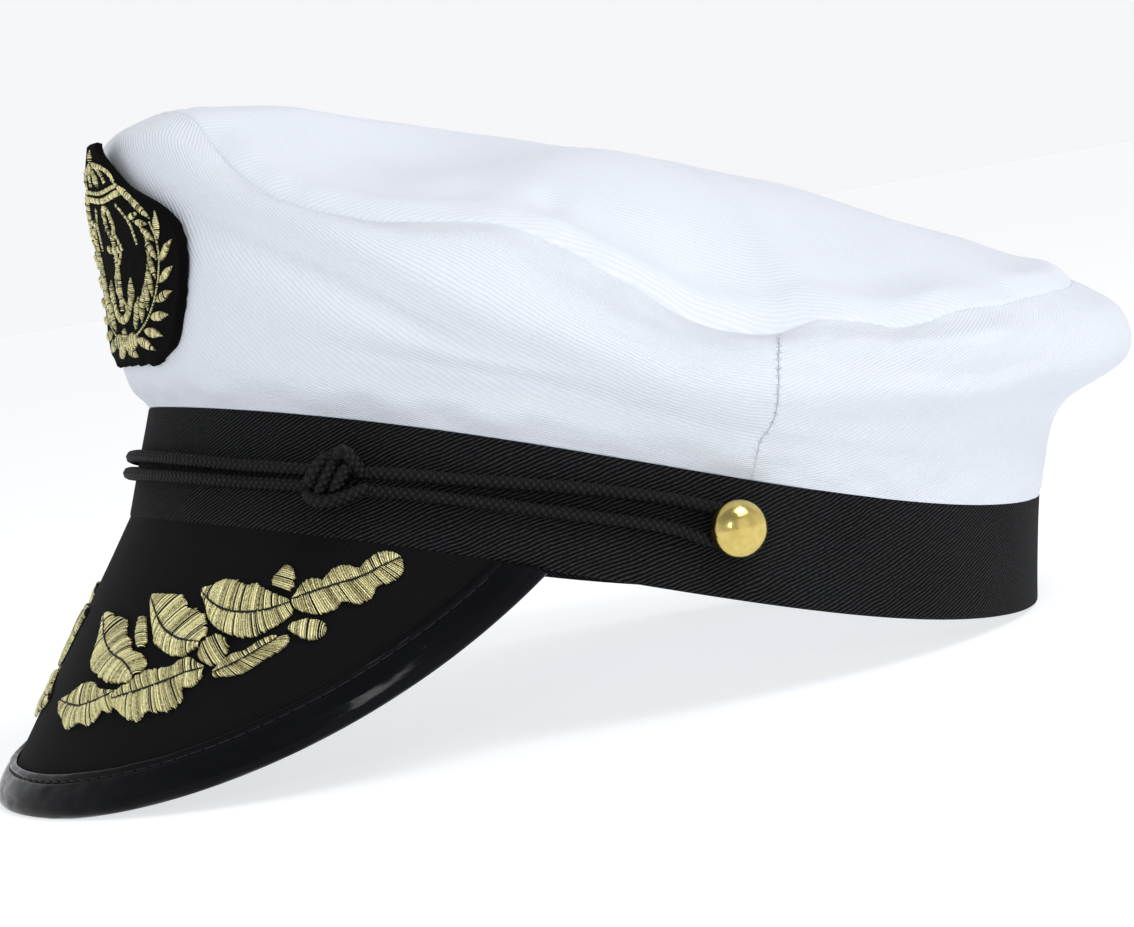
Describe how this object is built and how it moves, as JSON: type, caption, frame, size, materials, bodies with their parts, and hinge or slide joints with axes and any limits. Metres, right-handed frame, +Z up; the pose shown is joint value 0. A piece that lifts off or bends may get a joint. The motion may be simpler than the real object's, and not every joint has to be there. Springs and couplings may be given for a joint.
{
  "type": "captain hat",
  "caption": "Captain hat with a soft white crown, black head band and visor, gold leaf trim, anchor badge and a knotted cord held by brass buttons.",
  "frame": {"origin": "middle of the resting hat's footprint, on the surface it rests on", "axes": "+Z up from the surface, front of the hat towards -Y, the wearer's left towards +X"},
  "size_m": [0.1946, 0.2694, 0.1378],
  "materials": {
    "white_twill": "white cotton twill",
    "black_twill": "black twill",
    "black_felt": "black felt",
    "gloss_binding": "glossy black vinyl",
    "gold_thread": "satin-stitched metallic gold thread",
    "black_cord": "braided black cord",
    "brass": "polished brass"
  },
  "bodies": {
    "root": {"band": "black_twill", "crown_top": "white_twill", "crown_side_front": "white_twill", "crown_side_back": "white_twill", "visor": "black_twill", "visor_binding": "gloss_binding", "visor_long_leaf_left": "gold_thread", "visor_long_leaf_right": "gold_thread", "visor_broad_leaf_left": "gold_thread", "visor_broad_leaf_right": "gold_thread", "visor_upper_bud_left": "gold_thread", "visor_upper_bud_right": "gold_thread", "visor_outer_acorn_left": "gold_thread", "visor_outer_acorn_right": "gold_thread", "visor_narrow_leaf_left": "gold_thread", "visor_narrow_leaf_right": "gold_thread", "visor_inner_acorn_left": "gold_thread", "visor_inner_acorn_right": "gold_thread", "visor_middle_leaf_left": "gold_thread", "visor_middle_leaf_right": "gold_thread", "visor_lower_bud_left": "gold_thread", "visor_lower_bud_right": "gold_thread", "visor_third_leaf_left": "gold_thread", "visor_third_leaf_right": "gold_thread", "visor_lower_leaf_left": "gold_thread", "visor_lower_leaf_right": "gold_thread", "visor_tip_leaf_left": "gold_thread", "visor_tip_leaf_right": "gold_thread", "badge_patch": "black_felt", "badge_anchor": "gold_thread", "badge_crown": "gold_thread", "badge_bow": "gold_thread", "badge_wreath_left": "gold_thread", "badge_wreath_right": "gold_thread", "cord_upper": "black_cord", "cord_lower": "black_cord", "cord_loop_left": "black_cord", "cord_loop_right": "black_cord", "cord_knot_left": "black_cord", "cord_knot_right": "black_cord", "button_left": "brass", "button_right": "brass"}
  },
  "joints": []
}
